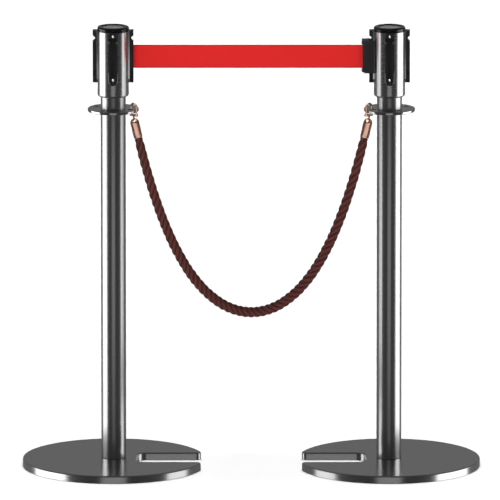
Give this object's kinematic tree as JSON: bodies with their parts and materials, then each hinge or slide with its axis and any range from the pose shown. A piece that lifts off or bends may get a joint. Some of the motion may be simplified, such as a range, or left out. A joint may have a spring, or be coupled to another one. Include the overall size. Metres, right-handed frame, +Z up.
{
  "type": "retractable belt stanchion",
  "caption": "Slotted-base retractable belt posts, joined by a red belt clipped between their heads and by a brown rope with snap hooks hung from ring plates.",
  "frame": {"origin": "on the floor, midway between the two posts, at the centre of the two bases' footprint", "axes": "+X along the barrier from the left post to the right post, -Y towards the side the reference picture was taken from, +Z up"},
  "size_m": [0.9322, 0.3714, 0.91],
  "materials": {
    "brushed_steel": "hairline-brushed stainless steel",
    "polished_steel": "polished stainless steel with a bright turned edge",
    "cast_iron": "rough casting",
    "zinc_steel": "zinc plated",
    "cast_aluminium": "turned",
    "spring_steel": "blued strip",
    "rubber": "matte",
    "black_plastic": "moulded, satin",
    "black_gloss": "glossy",
    "grey_plastic": "satin insert",
    "belt_red": "woven webbing with bound edges",
    "rope_brown": "three-strand twisted rope",
    "rose_copper": "polished rose-gold plating"
  },
  "bodies": {
    "root": {"left_floor_pad": "rubber", "left_base_weight": "cast_iron", "left_base_cover": "brushed_steel", "left_base_bolt": "zinc_steel", "left_bolt_washer": "zinc_steel", "left_foot_plug": "zinc_steel", "left_post_tube": "brushed_steel", "left_rope_ring": "polished_steel", "left_head_tube": "brushed_steel", "left_head_plug": "cast_aluminium", "left_top_cap": "black_gloss", "left_cap_disc": "grey_plastic", "left_belt_outlet": "black_plastic", "left_receiver_front": "black_plastic", "left_receiver_back": "black_plastic", "left_receiver_side": "black_plastic", "left_reel_frame": "zinc_steel", "left_reel_axle": "zinc_steel", "left_belt_lead": "belt_red", "left_belt_span": "belt_red", "left_power_spring": "spring_steel", "left_rope_ferrule": "rose_copper", "left_rope_hook": "rose_copper", "right_floor_pad": "rubber", "right_base_weight": "cast_iron", "right_base_cover": "brushed_steel", "right_base_bolt": "zinc_steel", "right_bolt_washer": "zinc_steel", "right_foot_plug": "zinc_steel", "right_post_tube": "brushed_steel", "right_rope_ring": "polished_steel", "right_head_tube": "brushed_steel", "right_head_plug": "cast_aluminium", "right_top_cap": "black_gloss", "right_cap_disc": "grey_plastic", "right_belt_outlet": "black_plastic", "right_receiver_front": "black_plastic", "right_receiver_inner": "black_plastic", "right_receiver_side": "black_plastic", "right_reel_frame": "zinc_steel", "right_reel_axle": "zinc_steel", "right_belt_lead": "belt_red", "right_belt_span": "belt_red", "right_power_spring": "spring_steel", "right_rope_ferrule": "rose_copper", "right_rope_hook": "rose_copper", "rope": "rope_brown"},
    "left_belt_end": {"left_belt_loop": "belt_red"},
    "left_belt_clip": {"left_clip_housing": "black_plastic", "left_clip_pin": "zinc_steel"},
    "left_belt_reel": {"left_reel": "black_plastic", "left_belt_coil": "belt_red"},
    "right_belt_end": {"right_belt_loop": "belt_red"},
    "right_belt_clip": {"right_clip_housing": "black_plastic", "right_clip_pin": "zinc_steel"},
    "right_belt_reel": {"right_reel": "black_plastic", "right_belt_coil": "belt_red"},
    "left_hook_slider": {"left_hook_bolt": "rose_copper"},
    "right_hook_slider": {"right_hook_bolt": "rose_copper"}
  },
  "joints": [
    {"name": "left_belt_travel", "type": "slide", "parent": "root", "child": "left_belt_end", "axis": [1, 0, 0], "range_m": [-0.4625, 0], "deforming": ["left_belt_span"]},
    {"name": "left_clip_lift", "type": "slide", "parent": "left_belt_end", "child": "left_belt_clip", "axis": [0, 0, 1], "range_m": [0, 0.007]},
    {"name": "left_reel_spin", "type": "hinge", "parent": "root", "child": "left_belt_reel", "pos_m": [-0.2805, 0, 0.8479], "axis": [0, 0, 1], "range_deg": [0, 1300]},
    {"name": "right_belt_pull", "type": "slide", "parent": "root", "child": "right_belt_end", "axis": [0, 1, 0], "range_m": [0, 1.5], "stiffness_N_per_m": 4, "springref_m": -1.5, "deforming": ["right_belt_span"]},
    {"name": "right_clip_lift", "type": "slide", "parent": "right_belt_end", "child": "right_belt_clip", "axis": [0, 0, 1], "range_m": [0, 0.007]},
    {"name": "right_reel_spin", "type": "hinge", "parent": "root", "child": "right_belt_reel", "pos_m": [0.2805, 0, 0.8479], "axis": [0, 0, 1], "range_deg": [-4900, 0]},
    {"name": "left_hook_bolt_slide", "type": "slide", "parent": "root", "child": "left_hook_slider", "axis": [0, 0, 1], "range_m": [-0.0065, 0], "stiffness_N_per_m": 400, "springref_m": 0.004},
    {"name": "right_hook_bolt_slide", "type": "slide", "parent": "root", "child": "right_hook_slider", "axis": [0, 0, 1], "range_m": [-0.0065, 0], "stiffness_N_per_m": 400, "springref_m": 0.004}
  ],
  "couplings": [
    {"joint": "left_reel_spin", "follows": "left_belt_travel", "rad_per_m": -48.8},
    {"joint": "right_reel_spin", "follows": "right_belt_pull", "rad_per_m": -56.9}
  ]
}
